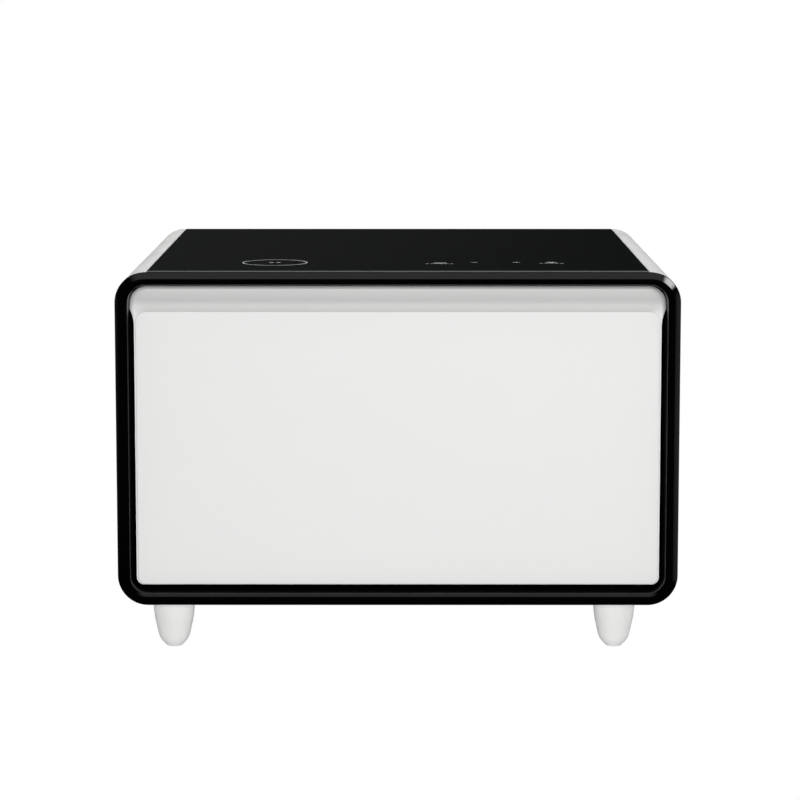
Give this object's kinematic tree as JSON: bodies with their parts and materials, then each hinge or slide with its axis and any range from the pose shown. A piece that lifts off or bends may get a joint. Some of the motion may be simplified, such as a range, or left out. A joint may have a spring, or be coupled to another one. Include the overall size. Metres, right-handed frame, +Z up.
{
  "type": "refrigerator coffee table",
  "caption": "Low cabinet table on bullet legs with a glass touch top, a charging spot and an insulated pull-out refrigerator drawer.",
  "frame": {"origin": "on the floor, under the middle of the cabinet's outline", "axes": "+X to the right seen from the front, +Y from the drawer to the back, +Z up"},
  "size_m": [0.65, 0.66, 0.454],
  "materials": {
    "white_enamel": "gloss",
    "white_abs": "satin",
    "white_liner": "satin",
    "black_abs": "gloss",
    "black_glass": "polished",
    "black_plastic": "matte",
    "insulation_foam": "matte",
    "galvanised_steel": "satin",
    "black_enamel": "satin",
    "copper": "satin",
    "coil_aluminium": "satin",
    "black_rubber": "matte",
    "gasket_rubber": "matte",
    "circuit_board": "satin",
    "lamp_lens": "satin"
  },
  "bodies": {
    "cabinet": {"cabinet_wrap": "white_enamel", "front_bezel": "black_abs", "glass_top": "black_glass", "top_tray": "black_plastic", "wireless_charger": "black_plastic", "key_board": "circuit_board", "temperature_display": "black_plastic", "inner_liner": "white_liner", "cabinet_foam": "insulation_foam", "leg_front_left": "white_abs", "leg_front_right": "white_abs", "leg_rear_left": "white_abs", "leg_rear_right": "white_abs", "leg_plate_front_left": "galvanised_steel", "leg_plate_front_right": "galvanised_steel", "leg_plate_rear_left": "galvanised_steel", "leg_plate_rear_right": "galvanised_steel", "foam_bulkhead": "galvanised_steel", "back_panel": "white_enamel", "power_inlet": "black_plastic", "interior_lamp": "lamp_lens", "slide_outer_left": "galvanised_steel", "slide_outer_right": "galvanised_steel", "evaporator_cover": "white_liner", "evaporator_coil": "coil_aluminium", "evaporator_fan_frame": "black_plastic", "machine_base": "galvanised_steel", "compressor": "black_enamel", "compressor_grommet_front_left": "black_rubber", "compressor_grommet_front_right": "black_rubber", "compressor_grommet_rear_left": "black_rubber", "compressor_grommet_rear_right": "black_rubber", "compressor_terminal_cover": "black_plastic", "drip_pan": "white_abs", "condenser_coil": "coil_aluminium", "condenser_fan_frame": "black_plastic", "filter_drier": "copper", "discharge_tube": "copper", "liquid_tube": "copper", "capillary_tube": "copper", "suction_tube": "copper", "power_supply": "galvanised_steel", "control_board": "circuit_board"},
    "drawer": {"drawer_front": "white_abs", "drawer_back_liner": "white_liner", "drawer_foam": "insulation_foam", "drawer_gasket": "gasket_rubber", "drawer_bin": "white_liner", "slide_inner_left": "galvanised_steel", "slide_inner_right": "galvanised_steel", "slide_bracket_left": "galvanised_steel", "slide_bracket_right": "galvanised_steel"},
    "slide_carriage_left": {"slide_middle_left": "galvanised_steel"},
    "slide_carriage_right": {"slide_middle_right": "galvanised_steel"},
    "condenser_fan": {"condenser_fan_rotor": "black_plastic"},
    "evaporator_fan": {"evaporator_fan_rotor": "white_abs"}
  },
  "joints": [
    {"name": "drawer_slide", "type": "slide", "parent": "cabinet", "child": "drawer", "axis": [0, -1, 0], "range_m": [0, 0.33]},
    {"name": "slide_left", "type": "slide", "parent": "cabinet", "child": "slide_carriage_left", "axis": [0, -1, 0], "range_m": [0, 0.165]},
    {"name": "slide_right", "type": "slide", "parent": "cabinet", "child": "slide_carriage_right", "axis": [0, -1, 0], "range_m": [0, 0.165]},
    {"name": "condenser_fan_spin", "type": "hinge", "parent": "cabinet", "child": "condenser_fan", "pos_m": [0.0177, 0.249, 0.1293], "axis": [1, 0, 0], "continuous": true},
    {"name": "evaporator_fan_spin", "type": "hinge", "parent": "cabinet", "child": "evaporator_fan", "pos_m": [-0.02, 0.12, 0.3168], "axis": [0, 1, 0], "continuous": true}
  ],
  "couplings": [
    {"joint": "slide_left", "follows": "drawer_slide", "ratio": 0.5},
    {"joint": "slide_right", "follows": "drawer_slide", "ratio": 0.5}
  ]
}
